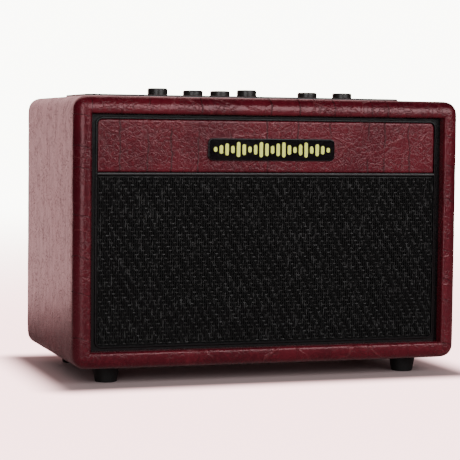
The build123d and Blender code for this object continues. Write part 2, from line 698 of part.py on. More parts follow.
def input_jack():
    """Quarter-inch socket: square body under the floor, threaded barrel through it."""
    low = FLOOR_BOTTOM - JACK_DEPTH
    body = level(JACK_BODY, JACK_BODY, JACK_X, CONTROL_Y, low, FLOOR_BOTTOM, JACK_CORNER_R)
    high = FLOOR_TOP + JACK_PROUD
    body += post(JACK_BARREL_R, JACK_X, CONTROL_Y, FLOOR_BOTTOM - LAP, high)
    return body - post(JACK_BORE_R, JACK_X, CONTROL_Y, low + JACK_BOTTOM, high + CUT)


def jack_nut():
    outline = Pos(JACK_X, CONTROL_Y, FLOOR_TOP) * RegularPolygon(NUT_R, 6)
    nut = extrude(outline, NUT_HEIGHT)
    return nut - post(JACK_BARREL_R, JACK_X, CONTROL_Y, FLOOR_TOP - CUT, FLOOR_TOP + NUT_HEIGHT + CUT)


def amplifier_board():
    """Board that the rear sockets are soldered to, with its larger components."""
    front = AMP_BOARD_BACK - PCB
    board = upright(AMP_BOARD_WIDTH, AMP_BOARD_HEIGHT, 0, AMP_BOARD_Z, front, AMP_BOARD_BACK,
                    BOARD_CORNER_R)
    for x in CAPACITOR_X:
        z = AMP_BOARD_Z - CAPACITOR_DROP
        board += rod(CAPACITOR_R, x, z, front - CAPACITOR_HEIGHT, front + LAP)
    for x in (-LEAD_START_X, LEAD_START_X):
        board += upright(LEAD_CONNECTOR_WIDTH, LEAD_CONNECTOR_HEIGHT, x, LEAD_START_Z,
                         front - LEAD_CONNECTOR, front + LAP)
    width, height, proud = HEAT_SINK
    return board + upright(width, height, 0, AMP_BOARD_Z - HEAT_SINK_DROP, front - proud, front + LAP)


def lead(sign):
    start = (LEAD_START_X, AMP_BOARD_BACK - PCB - LEAD_CONNECTOR, LEAD_START_Z)
    end = (DRIVER_X, FLANGE_FRONT + TERMINAL_BACK + TERMINAL[1] / 2, LEAD_END_Z)
    points = [Vector(sign * x, y, z) for x, y, z in [start] + LEAD_ROUTE + [end]]
    runs = [b - a for a, b in zip(points, points[1:])]
    radii = []
    for before, after in zip(runs, runs[1:]):
        turn = radians(before.get_angle(after))
        radii.append(BEND_SHARE * min(before.length, after.length) / tan(turn / 2))
    path = FilletPolyline(*points, radius=radii)
    section = Plane(origin=path @ 0, z_dir=path % 0) * Circle(LEAD_R)
    return sweep(section, path=path)


def speaker_leads():
    return Compound(children=[lead(-1), lead(1)])


def feet():
    rise = [(0, 0), (FOOT_BOTTOM_R, 0), (FOOT_TOP_R, FOOT_HEIGHT), (0, FOOT_HEIGHT)]
    parts = []
    for x, y in foot_places():
        foot = turned_post(rise, x, y, 0)
        foot = fillet(foot.faces().sort_by(Axis.Z)[0].edges(), FOOT_EDGE_R)
        foot -= post(FOOT_SCREW_HEAD_R + FOOT_SCREW_GAP, x, y, -CUT, FOOT_COUNTERBORE)
        parts.append(foot - post(FOOT_SCREW_R + SCREW_CLEARANCE, x, y, 0, FOOT_HEIGHT + CUT))
    return Compound(children=parts)


def foot_screws():
    screws = []
    for x, y in foot_places():
        head = post(FOOT_SCREW_HEAD_R, x, y, FOOT_COUNTERBORE - FOOT_SCREW_HEAD, FOOT_COUNTERBORE)
        screws.append(head + post(FOOT_SCREW_R, x, y, FOOT_COUNTERBORE - LAP, FOOT_SCREW_TOP))
    return Compound(children=screws)


def sub_parts():
    """Every sub-part by its node name."""
    parts = boards()
    for make in (vinyl_covering, battens, baffle_board, grille_frame, grille_cloth, fascia_board,
                 fascia_covering, divider_bead, badge_plate, badge_bars, speaker_screws, rear_panel,
                 rear_panel_screws, socket_plate, audio_sockets, dc_socket, usb_socket, control_tray,
                 pot_bodies, control_board, switch_bodies, led_lenses, input_jack, jack_nut,
                 amplifier_board, speaker_leads, feet, foot_screws):
        parts[make.__name__] = make()
    for side, x in (("left", -DRIVER_X), ("right", DRIVER_X)):
        for make in (basket, magnet, cone, voice_coil, surround, spider):
            parts[f"{side}_{make.__name__}"] = make(x)
    for name, (x, top) in KNOBS.items():
        parts[f"{name}_knob"] = knob(x, top)
        parts[f"{name}_shaft"] = shaft(x, top)
    for name, (x, radius, travel) in BUTTONS.items():
        parts[f"{name}_button"] = button(x, radius, travel)
    return parts


os.makedirs("parts", exist_ok=True)
for node, shape in sub_parts().items():
    export_step(shape, f"parts/{node}.step")
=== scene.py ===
import json
import math

import bpy
from mathutils import Matrix, Vector


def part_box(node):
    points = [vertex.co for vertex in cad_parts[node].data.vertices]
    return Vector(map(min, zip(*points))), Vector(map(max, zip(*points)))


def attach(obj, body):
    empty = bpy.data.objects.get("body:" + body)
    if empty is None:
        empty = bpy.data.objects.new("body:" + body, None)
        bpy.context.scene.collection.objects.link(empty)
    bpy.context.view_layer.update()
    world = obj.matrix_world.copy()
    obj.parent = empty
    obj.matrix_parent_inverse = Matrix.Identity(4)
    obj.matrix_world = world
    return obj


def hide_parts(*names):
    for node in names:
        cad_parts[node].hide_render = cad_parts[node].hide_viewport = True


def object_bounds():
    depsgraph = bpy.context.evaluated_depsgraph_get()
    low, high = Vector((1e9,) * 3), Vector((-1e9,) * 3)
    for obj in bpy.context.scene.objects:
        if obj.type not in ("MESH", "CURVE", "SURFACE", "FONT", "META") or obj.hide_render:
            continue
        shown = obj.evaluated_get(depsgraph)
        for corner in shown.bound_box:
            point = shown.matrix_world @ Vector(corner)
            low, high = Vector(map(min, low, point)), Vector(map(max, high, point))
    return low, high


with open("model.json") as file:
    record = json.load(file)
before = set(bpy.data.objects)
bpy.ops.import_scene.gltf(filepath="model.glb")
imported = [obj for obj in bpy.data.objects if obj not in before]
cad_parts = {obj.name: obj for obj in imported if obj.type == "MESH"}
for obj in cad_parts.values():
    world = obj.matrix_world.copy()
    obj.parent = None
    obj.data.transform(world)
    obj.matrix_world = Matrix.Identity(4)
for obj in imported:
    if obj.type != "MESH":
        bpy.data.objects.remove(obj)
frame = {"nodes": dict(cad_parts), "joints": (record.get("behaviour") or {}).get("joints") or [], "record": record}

CAD_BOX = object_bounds()
HALF_X, FRONT_Y = CAD_BOX[1].x, CAD_BOX[0].y
MM = 0.001

# Cabinet covering
WALL = 14.6 * MM
CORNER_R = 11.0 * MM
FRONT_EDGE_R = 9.5 * MM
REAR_EDGE_R = 5.0 * MM
LIP_EDGE_R = 2.6 * MM
FRONT_LIP = 13.0 * MM
REAR_LIP = 9.0 * MM
SHARP_R = 0.25 * MM
CAGE_STEP = 10.0 * MM
LIP_STEP = 6.0 * MM
FLAT_TOP = 0.1 * MM           # how near to the top a point of the flat top lies
UNDER_RIM = 3.0 * MM          # from the tray's outer edge to the opening in the covering
PUCKER_SIZE = 12.0 * MM
PUCKER_HEIGHT = 0.35 * MM

# Fascia strip
FASCIA_EDGE_R = 1.4 * MM
FASCIA_CORNER_R = 4.4 * MM
FASCIA_STEP = 11.0 * MM
FASCIA_PUCKER_SIZE = 10.0 * MM
FASCIA_PUCKER_HEIGHT = 0.20 * MM

# Grille cloth
WARPS = 156
WEFTS = 44
TWILL = 4
WARP_R = 0.80 * MM
WEFT_R = 0.60 * MM
THREAD_WAVE = 0.95 * MM
SCRIM_BEHIND = 0.7 * MM
SCRIM_STEP = 4.0 * MM

# Knob pointers
POINTER_OUT = 5.0 * MM
POINTER_WIDTH = 1.0 * MM
POINTER_LENGTH = 5.2 * MM
POINTER_DEEP = 0.35 * MM
POINTER_EDGE = 0.1 * MM

# Vinyl pattern: where the front's creases give way to those of the wall's front edge and of the sides
EDGE_BAND = (14.5 * MM, 13.0 * MM)        # in from the side
EDGE_BAND_DEEP = (11.0 * MM, 11.5 * MM)   # back from the front
SIDE_BAND = (8.0 * MM, 3.5 * MM)          # in from the side
CREASE_FADE = (60.0 * MM, 160.0 * MM)     # above the floor
VINYL_RELIEF = 0.33 * MM

# Camera and studio
CAMERA_TURN = math.radians(18.64)
CAMERA_DOWN = math.radians(3.41)
CAMERA_ROLL = math.radians(0.66)
CAMERA_DISTANCE = 1.4744
CAMERA_AIM = Vector((-0.00685, 0.0, -0.00149))
CAMERA_LENS = 130.24
CAMERA_NEAR = 0.05
LAMPS = {
    "left_softbox": dict(azimuth=-32, elevation=14, distance=1.6, width=0.9, height=1.5, radiance=3.4),
    "front_softbox": dict(azimuth=25, elevation=21, distance=1.8, width=1.4, height=0.8, radiance=5.7),
}
BACKDROP = (1.0, 1.0, 0.90, 1.0)
BACKDROP_SEEN = 10.0
BACKDROP_MIRRORED = 1.7
ROOM_TINT = (1.0, 0.58, 0.58, 1.0)
ROOM_DARK = 0.02
FLOOR_HALF = 8.0
FLOOR_PAINT = (0.55, 0.42, 0.42, 1.0)
# Pink light thrown by the red cabinet, painted onto the floor near it
FLOOR_PAINTED_REFLECTION = (0.55, 0.34, 0.34)
FLOOR_FADE = (0.1, 3.0)       # how far from the cabinet it goes from the painted pink reflection to the backdrop's colour
SHADOW_REACH = 0.042          # how far from the cabinet the floor takes shadows; it glows from there on


# --- Shader expressions ---

class Signal:
    """The value on a socket. Arithmetic on it adds Math nodes to its tree."""

    def __init__(self, tree, socket):
        self.tree = tree
        self.socket = socket

    def math(self, operation, *values):
        return add_node(self.tree, "ShaderNodeMath", {"operation": operation}, dict(enumerate(values)))

    def __add__(self, other):
        return self.math("ADD", self, other)

    def __sub__(self, other):
        return self.math("SUBTRACT", self, other)

    def __rsub__(self, other):
        return self.math("SUBTRACT", other, self)

    def __mul__(self, other):
        return self.math("MULTIPLY", self, other)

    def __abs__(self):
        return self.math("ABSOLUTE", self)

    __radd__ = __add__
    __rmul__ = __mul__

    def ramp(self, low, high, start=0.0, end=1.0):
        """Goes smoothly from start to end as the value goes from low to high."""
        return add_node(self.tree, "ShaderNodeMapRange", {"interpolation_type": "SMOOTHSTEP"}, {
            "Value": self, "From Min": low, "From Max": high, "To Min": start, "To Max": end})

    def at_least(self, least):
        return self.math("MAXIMUM", self, least)

    def root(self):
        return self.math("SQRT", self)


def add_node(tree, kind, settings=None, inputs=None, output=0):
    """New node: its settings first, then the values or links of its sockets."""
    node = tree.nodes.new(kind)
    for name, value in (settings or {}).items():
        setattr(node, name, value)
    for name, value in (inputs or {}).items():
        if isinstance(value, Signal):
            tree.links.new(value.socket, node.inputs[name])
        else:
            node.inputs[name].default_value = value
    return Signal(tree, node.outputs[output])


class Finish:
    """A procedural material with one Principled shader."""

    def __init__(self, name, **constants):
        self.material = bpy.data.materials.new(name)
        self.material.use_nodes = True
        self.tree = self.material.node_tree
        self.shader = self.tree.nodes["Principled BSDF"]
        for socket, value in constants.items():
            self.shader.inputs[socket.replace("_", " ")].default_value = value
        self.place = self.node("ShaderNodeTexCoord", output="Object")

    def node(self, kind, settings=None, inputs=None, output=0):
        return add_node(self.tree, kind, settings, inputs, output)

    def stretch(self, scale, turn=(0.0, 0.0, 0.0), vector=None):
        return self.node("ShaderNodeMapping", None, {
            "Vector": vector or self.place, "Scale": scale, "Rotation": [math.radians(a) for a in turn]})

    def noise(self, scale, detail=2.0, roughness=0.5, vector=None):
        return self.node("ShaderNodeTexNoise", None, {
            "Vector": vector or self.place, "Scale": scale, "Detail": detail, "Roughness": roughness})

    def cells(self, scale, feature="DISTANCE_TO_EDGE", vector=None):
        return self.node("ShaderNodeTexVoronoi", {"feature": feature}, {
            "Vector": vector or self.place, "Scale": scale})

    def lines(self, distance, scale):
        """Distance to the nearest of some unevenly spaced lines."""
        settings = {"voronoi_dimensions": "1D", "feature": "DISTANCE_TO_EDGE"}
        return self.node("ShaderNodeTexVoronoi", settings, {"W": distance, "Scale": scale})

    def warp(self, scale, amount, vector=None):
        """Object coordinates, or the given vector, pushed about by noise."""
        source = vector or self.place
        noise = {"Vector": source, "Scale": scale, "Detail": 3.0}
        push = self.node("ShaderNodeTexNoise", None, noise, "Color")
        centred = self.node("ShaderNodeVectorMath", {"operation": "SUBTRACT"}, {0: push, 1: (0.5, 0.5, 0.5)})
        scaled = self.node("ShaderNodeVectorMath", {"operation": "SCALE"}, {0: centred, "Scale": amount})
        return self.node("ShaderNodeVectorMath", {"operation": "ADD"}, {0: source, 1: scaled})

    def mix(self, share, first, second):
        """Colour that goes from first to second."""
        inputs = {0: share, 6: first, 7: second}
        for index in (6, 7):
            if not isinstance(inputs[index], Signal):
                inputs[index] = (*inputs[index], 1.0)
        return self.node("ShaderNodeMix", {"data_type": "RGBA"}, inputs, 2)

    def axes(self, vector=None, names="XYZ"):
        """The vector's components."""
        return [self.node("ShaderNodeSeparateXYZ", None, {0: vector or self.place}, axis) for axis in names]

    def bump(self, height, distance, strength=1.0):
        inputs = {"Height": height, "Distance": distance, "Strength": strength}
        return self.node("ShaderNodeBump", None, inputs)

    def feed(self, **signals):
        for socket, signal in signals.items():
            self.tree.links.new(signal.socket, self.shader.inputs[socket.replace("_", " ")])
        return self.material


# --- Finishes ---

def oxblood_vinyl():
    """Embossed vinyl: long creases over the edges, branching ridges, short wrinkles, a fine net and grain; painted
    shade darkens its creases and net, and painted highlights lighten its ridges and lumps.
    """
    finish = Finish("oxblood_vinyl", Specular_Tint=(1.0, 0.62, 0.65, 1.0))
    bent = finish.warp(260.0, 0.0022, finish.warp(55.0, 0.006))
    tight = finish.warp(300.0, 0.0035)
    across, back, up = finish.axes(bent)
    x, y, z = finish.axes()

    # Where each kind of crease lies
    beside = abs(x).ramp(*[HALF_X - inset for inset in EDGE_BAND])
    beside = beside * y.ramp(*[FRONT_Y + depth for depth in EDGE_BAND_DEEP], 1.0, 0.0)
    side = abs(x).ramp(*[HALF_X - inset for inset in SIDE_BAND])
    front = 1 - 0.92 * side

    # Long creases: upright on the front and top, slanted on the wall's front edge, folds on the sides
    upright = finish.lines(across, 38.0).ramp(0.006, 0.036, 1.0, 0.0)
    upright = upright * finish.noise(20.0, 1.0).ramp(0.34, 0.46)
    upright = upright * z.ramp(*CREASE_FADE, 0.3, 1.0)
    slanted = finish.lines(up + 0.35 * across + 0.25 * back, 34.0).ramp(0.006, 0.020, 1.0, 0.0)
    fold = finish.lines(back, 95.0).ramp(0.01, 0.05, 1.0, 0.0)
    fold = fold * finish.noise(60.0, 1.0, 0.5, finish.stretch((1.0, 1.0, 0.3))).ramp(0.48, 0.58)
    crease = (1 - beside) * (1 - side) * upright + beside * slanted * 0.8 + side * fold * 0.45

    # Relief between the creases
    drawn = finish.noise(150.0, 3.0, 0.65, finish.stretch((1.0, 1.0, 0.035)))
    turned = finish.stretch((0.6, 0.9, 1.0), (0, 28, 10), bent)
    ridge = finish.cells(44.0, vector=turned).ramp(0.004, 0.032, 1.0, 0.0)
    ridge = ridge * finish.noise(34.0, 1.0).ramp(0.42, 0.60)
    net = finish.cells(230.0, vector=tight).ramp(0.0, 0.13, 1.0, 0.0)
    net = net * finish.noise(70.0, 2.0).ramp(0.30, 0.62)
    strokes = finish.noise(520.0, 2.0, 0.6, finish.stretch((1.0, 1.0, 0.35), (0, 35, 0), tight))
    strokes = strokes + finish.noise(430.0, 2.0, 0.6, finish.stretch((1.0, 1.0, 0.35), (0, -50, 0), tight))
    lumps = finish.noise(280.0, 3.0, 0.6)
    grain = finish.noise(1200.0, 2.0, 0.65)

    clouds = finish.noise(16.0, 3.0).ramp(0.35, 0.65)
    base = finish.mix(clouds, (0.058, 0.0036, 0.0085), (0.098, 0.0068, 0.0135))
    # Painted highlight: paler colour where the lumps rise, on the front only
    base = finish.mix(lumps.ramp(0.40, 0.75) * 0.6 * front, base, (0.138, 0.014, 0.022))
    # Painted shade: darker colour in the hollows of the fine net, on the front only
    base = finish.mix(net * 0.60 * front, base, (0.036, 0.002, 0.004))
    # Painted highlight: paler colour along the raised ridges
    base = finish.mix(ridge * 0.30, base, (0.200, 0.050, 0.055))
    # Painted shade: near-black colour down the creases
    base = finish.mix(crease * 0.85, base, (0.016, 0.001, 0.002))
    rough = 0.155 + 0.15 * net + 0.20 * crease + 0.12 * grain
    height = front * (0.60 * lumps + 0.36 * strokes + 0.16 * grain + ridge - 0.40 * net)
    height = height + side * drawn * 0.4 - 0.6 * crease
    return finish.feed(Base_Color=base, Roughness=rough, Normal=finish.bump(height, VINYL_RELIEF))


def fibreboard():
    """Bare medium-density fibreboard."""
    finish = Finish("raw_fibreboard")
    fibres = finish.noise(420.0, 4.0, 0.7, finish.stretch((1.0, 0.35, 1.0)))
    base = finish.mix(fibres.ramp(0.3, 0.7), (0.24, 0.15, 0.085), (0.40, 0.28, 0.17))
    rough = 0.75 + 0.15 * fibres
    return finish.feed(Base_Color=base, Roughness=rough, Normal=finish.bump(fibres, 0.0002, 0.5))


def moulded(name, colour, roughness, grain, depth, dust, shine=0.5):
    """Plastic, rubber or paint with a grain of that fineness and depth, a little dust and paler scuffs."""
    finish = Finish(name, Specular_IOR_Level=shine)
    fine = finish.noise(grain, 2.0, 0.6)
    cloudy = finish.noise(60.0, 4.0, 0.65)
    paler = [c * 1.6 + 0.010 for c in colour]
    base = finish.mix(cloudy.ramp(0.45, 0.8) * dust, colour, paler)
    base = finish.mix(fine.ramp(0.5, 0.8) * dust, base, paler)
    rough = roughness - 0.11 + 0.12 * cloudy + 0.10 * fine
    return finish.feed(Base_Color=base, Roughness=rough, Normal=finish.bump(fine, depth, 0.6))


def painted_board():
    """Black paint rolled over fibreboard, with an orange-peel surface and worn specks."""
    finish = Finish("black_painted_board")
    peel = finish.cells(520.0, "SMOOTH_F1", finish.warp(300.0, 0.002))
    specks = finish.noise(340.0, 5.0, 0.75).ramp(0.66, 0.74)
    base = finish.mix(specks * 0.5, (0.012, 0.012, 0.013), (0.05, 0.045, 0.04))
    return finish.feed(Base_Color=base, Roughness=0.48 + 0.2 * peel, Normal=finish.bump(peel, 0.00025, 0.5))


def plated(name, colour, roughness, stretch=(1.0, 1.0, 0.04), tarnish=0.35):
    """Plated or bare metal with fine drawn lines and cloudy tarnish."""
    finish = Finish(name, Metallic=1.0)
    lines = finish.noise(1500.0, 2.0, 0.6, finish.stretch(stretch))
    clouds = finish.noise(90.0, 4.0, 0.6)
    base = finish.mix(clouds.ramp(0.45, 0.8) * tarnish, colour, [c * 0.55 for c in colour])
    rough = roughness - 0.09 + 0.18 * lines + 0.15 * clouds.ramp(0.4, 0.8)
    return finish.feed(Base_Color=base, Roughness=rough, Normal=finish.bump(lines, 0.00003, 0.5))


def spun(name, colour, paler, along=(1.0, 1.0, 1.0), glint_start=0.56):
    """Spun thread: short fibres, and thick spots along it that are less rough and painted in the paler colour as
    glints.
    """
    finish = Finish(name, Specular_IOR_Level=0.15)
    fibres = finish.noise(2600.0, 3.0, 0.7)
    slub_glints = finish.noise(520.0, 2.0, 0.6, finish.stretch(along)).ramp(glint_start, glint_start + 0.10)
    base = finish.mix(fibres.ramp(0.35, 0.75) * 0.4, colour, paler)
    # Painted glints: the paler colour on the thick spots, where the thread would catch the light
    base = finish.mix(slub_glints, base, paler)
    rough = 0.8 - 0.25 * slub_glints
    return finish.feed(Base_Color=base, Roughness=rough, Normal=finish.bump(fibres, 0.0001, 0.7))


def circuit_board():
    """Green solder mask over rows of copper tracks."""
    finish = Finish("green_circuit_board")
    tracks = finish.node("ShaderNodeTexBrick", {"offset": 0.5}, {
        "Vector": finish.place, "Scale": 140.0, "Mortar Size": 0.06, "Brick Width": 1.7}, "Fac")
    mottle = finish.noise(260.0, 3.0)
    base = finish.mix(tracks, (0.012, 0.085, 0.035), (0.035, 0.19, 0.08))
    base = finish.mix(mottle.ramp(0.55, 0.8) * 0.4, base, (0.02, 0.13, 0.06))
    rough = 0.32 + 0.2 * mottle
    return finish.feed(Base_Color=base, Roughness=rough, Normal=finish.bump(tracks, 0.00004, 0.6))


def pressed_paper():
    """Black paper pulp of a loudspeaker cone."""
    finish = Finish("black_pressed_paper")
    pulp = finish.noise(700.0, 5.0, 0.75, finish.warp(90.0, 0.01))
    base = finish.mix(pulp.ramp(0.35, 0.75), (0.010, 0.010, 0.011), (0.042, 0.041, 0.040))
    return finish.feed(Base_Color=base, Roughness=0.82 + 0.1 * pulp, Normal=finish.bump(pulp, 0.0002, 0.7))


# The finish of each material slot
FINISHES = {
    "oxblood_vinyl": oxblood_vinyl,
    "fibreboard": fibreboard,
    "black_board": painted_board,
    "cone_paper": pressed_paper,
    "circuit_board": circuit_board,
}
# Name, colour, roughness, fineness of grain, depth of grain, dust, shine
MOULDED = {
    "frame_plastic": ("black_frame_moulding", (0.002, 0.002, 0.0025), 0.24, 1100.0, 0.00001, 0.1, 0.32),
    "bead_plastic": ("grey_bead_moulding", (0.016, 0.016, 0.017), 0.30, 1100.0, 0.00002, 0.2),
    "badge_black": ("gloss_black_badge", (0.003, 0.0025, 0.0035), 0.12, 1300.0, 0.00001, 0.1),
    "badge_cream": ("pale_lime_relief", (0.92, 1.00, 0.17), 0.36, 1300.0, 0.00002, 0.10),
    "knob_plastic": ("satin_black_knob", (0.020, 0.017, 0.016), 0.32, 1000.0, 0.00004, 0.3),
    "button_plastic": ("dark_grey_key", (0.035, 0.035, 0.037), 0.45, 1000.0, 0.00004, 0.3),
    "panel_plastic": ("grained_black_tray", (0.012, 0.012, 0.013), 0.42, 700.0, 0.00009, 0.3),
    "black_steel": ("blackened_steel", (0.016, 0.016, 0.017), 0.36, 600.0, 0.00006, 0.4),
    "ferrite": ("grey_ferrite", (0.045, 0.045, 0.050), 0.55, 500.0, 0.00012, 0.5),
    "roll_rubber": ("soft_roll_rubber", (0.012, 0.012, 0.012), 0.55, 1000.0, 0.00005, 0.4),
    "socket_plastic": ("gloss_black_socket", (0.010, 0.010, 0.010), 0.28, 1200.0, 0.00003, 0.2),
    "lens_plastic": ("red_lens", (0.42, 0.018, 0.012), 0.24, 1500.0, 0.00001, 0.1),
    "lead_plastic": ("soft_black_jacket", (0.014, 0.014, 0.014), 0.42, 900.0, 0.00004, 0.3),
    "foot_rubber": ("hard_black_rubber", (0.003, 0.003, 0.003), 0.55, 800.0, 0.00010, 0.2, 0.3),
}
# Name, colour, roughness, stretch of the drawn lines, tarnish
PLATED = {
    "bright_steel": ("zinc_plated_steel", (0.60, 0.60, 0.61), 0.28),
    "copper_wire": ("wound_copper", (0.72, 0.36, 0.20), 0.30, (1.0, 12.0, 1.0)),
    "plated_nut": ("nickel_plate", (0.70, 0.67, 0.62), 0.22, (1.0, 1.0, 1.0), 0.2),
}
# Name, colour, paler colour of the fibres and of the painted glints, stretch of the painted glints, where the
# painted glints start
SPUN = {
    "grille_fabric": ("black_grille_warp", (0.001, 0.001, 0.001), (0.030, 0.030, 0.030), (1, 1, 0.4), 0.55),
    "spider_cloth": ("amber_spider_cloth", (0.30, 0.18, 0.06), (0.52, 0.36, 0.15)),
}


# --- Pieces ---

def add_piece(name, data, material, body="cabinet"):
    data.materials.append(material)
    piece = bpy.data.objects.new(name, data)
    bpy.context.scene.collection.objects.link(piece)
    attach(piece, body)
    return piece


def cage(name, verts, faces):
    mesh = bpy.data.meshes.new(name)
    mesh.from_pydata([tuple(v) for v in verts], [], faces)
    mesh.shade_smooth()
    return mesh


def subdivide(piece, levels):
    stack = piece.modifiers.new("smooth", "SUBSURF")
    stack.levels = levels
    stack.render_levels = levels


def pucker(piece, size, height):
    """Soft unevenness of the glued-down vinyl."""
    texture = bpy.data.textures.new(f"{piece.name}_pucker", "CLOUDS")
    texture.noise_scale = size
    texture.noise_depth = 2
    lift = piece.modifiers.new("pucker", "DISPLACE")
    lift.texture = texture
    lift.texture_coords = "LOCAL"
    lift.strength = height
    lift.mid_level = 0.5


def grid(rows, columns):
    """Faces of a sheet of points that run along each row in turn."""
    return [(r * columns + c, r * columns + c + 1, (r + 1) * columns + c + 1, (r + 1) * columns + c)
            for r in range(rows - 1) for c in range(columns - 1)]


def spaced(start, end, step):
    """Even stops from start towards end, no further apart than step, with the end left out."""
    count = max(1, math.ceil(abs(end - start) / step))
    return [start + (end - start) * i / count for i in range(count)]


def quarter(steps):
    return [math.radians(90 * i / steps) for i in range(steps + 1)]


# --- Cabinet covering ---

def wrap_profile():
    """(inset, depth) from inside the front opening, round the edges, to inside the rear opening."""
    front, rear = CAD_BOX[0].y, CAD_BOX[1].y
    points = [(WALL, depth) for depth in spaced(front + FRONT_LIP, front + LIP_EDGE_R, LIP_STEP)]
    points += [(WALL - LIP_EDGE_R * (1 - math.cos(a)), front + LIP_EDGE_R * (1 - math.sin(a)))
               for a in quarter(3)]
    points += [(FRONT_EDGE_R * (1 - math.sin(a)), front + FRONT_EDGE_R * (1 - math.cos(a)))
               for a in quarter(5)]
    points += [(0.0, depth) for depth in spaced(front + FRONT_EDGE_R, rear - REAR_EDGE_R, CAGE_STEP)[1:]]
    points += [(REAR_EDGE_R * (1 - math.cos(a)), rear - REAR_EDGE_R * (1 - math.sin(a)))
               for a in quarter(4)]
    points += [(inset, rear) for inset in spaced(REAR_EDGE_R, WALL - SHARP_R, CAGE_STEP)[1:]]
    points += [(WALL - SHARP_R, rear), (WALL, rear - SHARP_R), (WALL, rear - REAR_LIP)]
    return points


def wrap_outline(half_x, height):
    """Stops round the cabinet as (side, share along the straight, turn in the corner)."""
    stops = []
    for side, length in enumerate((2 * half_x, height) * 2):
        straight = length - 2 * CORNER_R
        stops += [(side, share, 0.0) for share in spaced(0.0, 1.0, CAGE_STEP / straight)]
        stops += [(side, 1.0, turn) for turn in quarter(4)[:-1]]
    return stops


def wrap_point(stop, inset, depth, half_x, low_z, high_z):
    """The stop's place at that depth, moved in by inset.

    Seen from the front, the stops run clockwise from the top left."""
    side, share, turn = stop
    radius = max(CORNER_R - inset, SHARP_R)
    reach = (half_x - inset - radius, (high_z - low_z) / 2 - inset - radius)
    along = reach[side % 2] * (2 * share - 1) + radius * math.sin(turn)
    out = reach[(side + 1) % 2] + radius * math.cos(turn)
    angle = side * math.pi / 2
    x = along * math.cos(angle) + out * math.sin(angle)
    z = out * math.cos(angle) - along * math.sin(angle)
    return (x, depth, (low_z + high_z) / 2 + z)


def drawn_to(value, edges):
    """The value, moved onto an edge that is less than half a cage step away."""
    for edge in edges:
        if abs(value - edge) <= CAGE_STEP / 2:
            return edge
    return value


def covering(vinyl):
    """The vinyl wrapped over the cabinet in one piece, cut open where the control tray drops in."""
    low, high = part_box("vinyl_covering")
    tray_low, tray_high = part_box("control_tray")
    hole_x = (tray_low.x + UNDER_RIM, tray_high.x - UNDER_RIM)
    hole_y = (tray_low.y + UNDER_RIM, tray_high.y - UNDER_RIM)
    stops = wrap_outline(high.x, high.z - low.z)
    profile = wrap_profile()
    verts = []
    for inset, depth in profile:
        for stop in stops:
            x, y, z = wrap_point(stop, inset, depth, high.x, low.z, high.z)
            if z > high.z - FLAT_TOP:
                x, y = drawn_to(x, hole_x), drawn_to(y, hole_y)
            verts.append((x, y, z))
    around = len(stops)
    faces = []
    for row in range(len(profile) - 1):
        for column in range(around):
            after = (column + 1) % around
            face = (row * around + column, row * around + after,
                    (row + 1) * around + after, (row + 1) * around + column)
            middle = sum((Vector(verts[i]) for i in face), Vector()) / 4
            on_top = middle.z > high.z - MM
            in_hole = hole_x[0] < middle.x < hole_x[1] and hole_y[0] < middle.y < hole_y[1]
            if not (on_top and in_hole):
                faces.append(face)
    piece = add_piece("oxblood_covering", cage("oxblood_covering", verts, faces), vinyl)
    subdivide(piece, 2)
    pucker(piece, PUCKER_SIZE, PUCKER_HEIGHT)
    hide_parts("vinyl_covering")


# --- Fascia ---

def fascia(vinyl):
    """Vinyl strip above the grille: its front edges rolled, its two top corners round."""
    low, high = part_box("fascia_covering")
    columns = edge_stops(low.x, high.x)
    rows = edge_stops(low.z, high.z)
    verts = [strip_point(x, z, low, high) for z in rows for x in columns]
    mesh = cage("oxblood_fascia", verts, grid(len(rows), len(columns)))
    piece = add_piece("oxblood_fascia", mesh, vinyl)
    subdivide(piece, 2)
    pucker(piece, FASCIA_PUCKER_SIZE, FASCIA_PUCKER_HEIGHT)
    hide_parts("fascia_covering")


def edge_stops(low, high):
    """Stops across the strip, close together over its rolled edges and round corners."""
    rolled = [0.0, 0.3 * FASCIA_EDGE_R, FASCIA_EDGE_R, 2 * FASCIA_EDGE_R, 0.7 * FASCIA_CORNER_R]
    inner = spaced(low + FASCIA_CORNER_R, high - FASCIA_CORNER_R, FASCIA_STEP)
    last = [high - FASCIA_CORNER_R] + [high - r for r in reversed(rolled)]
    return [low + r for r in rolled] + inner + last


def strip_point(x, z, low, high):
    """Point of the strip: its edges roll back, and its square top corners are drawn in to round ones."""
    edge = min(x - low.x, high.x - x, z - low.z, high.z - z)
    centre = Vector((math.copysign(high.x - FASCIA_CORNER_R, x), high.z - FASCIA_CORNER_R))
    out = Vector(((x - centre.x) * math.copysign(1, x), z - centre.y))
    if min(out) > 0:
        reach = out.normalized() * max(out)
        edge = FASCIA_CORNER_R - max(out)
        x, z = centre.x + math.copysign(reach.x, x), centre.y + reach.y
    roll = max(FASCIA_EDGE_R - edge, 0.0)
    return (x, low.y + FASCIA_EDGE_R - math.sqrt(FASCIA_EDGE_R ** 2 - roll ** 2), z)


# --- Grille cloth ---

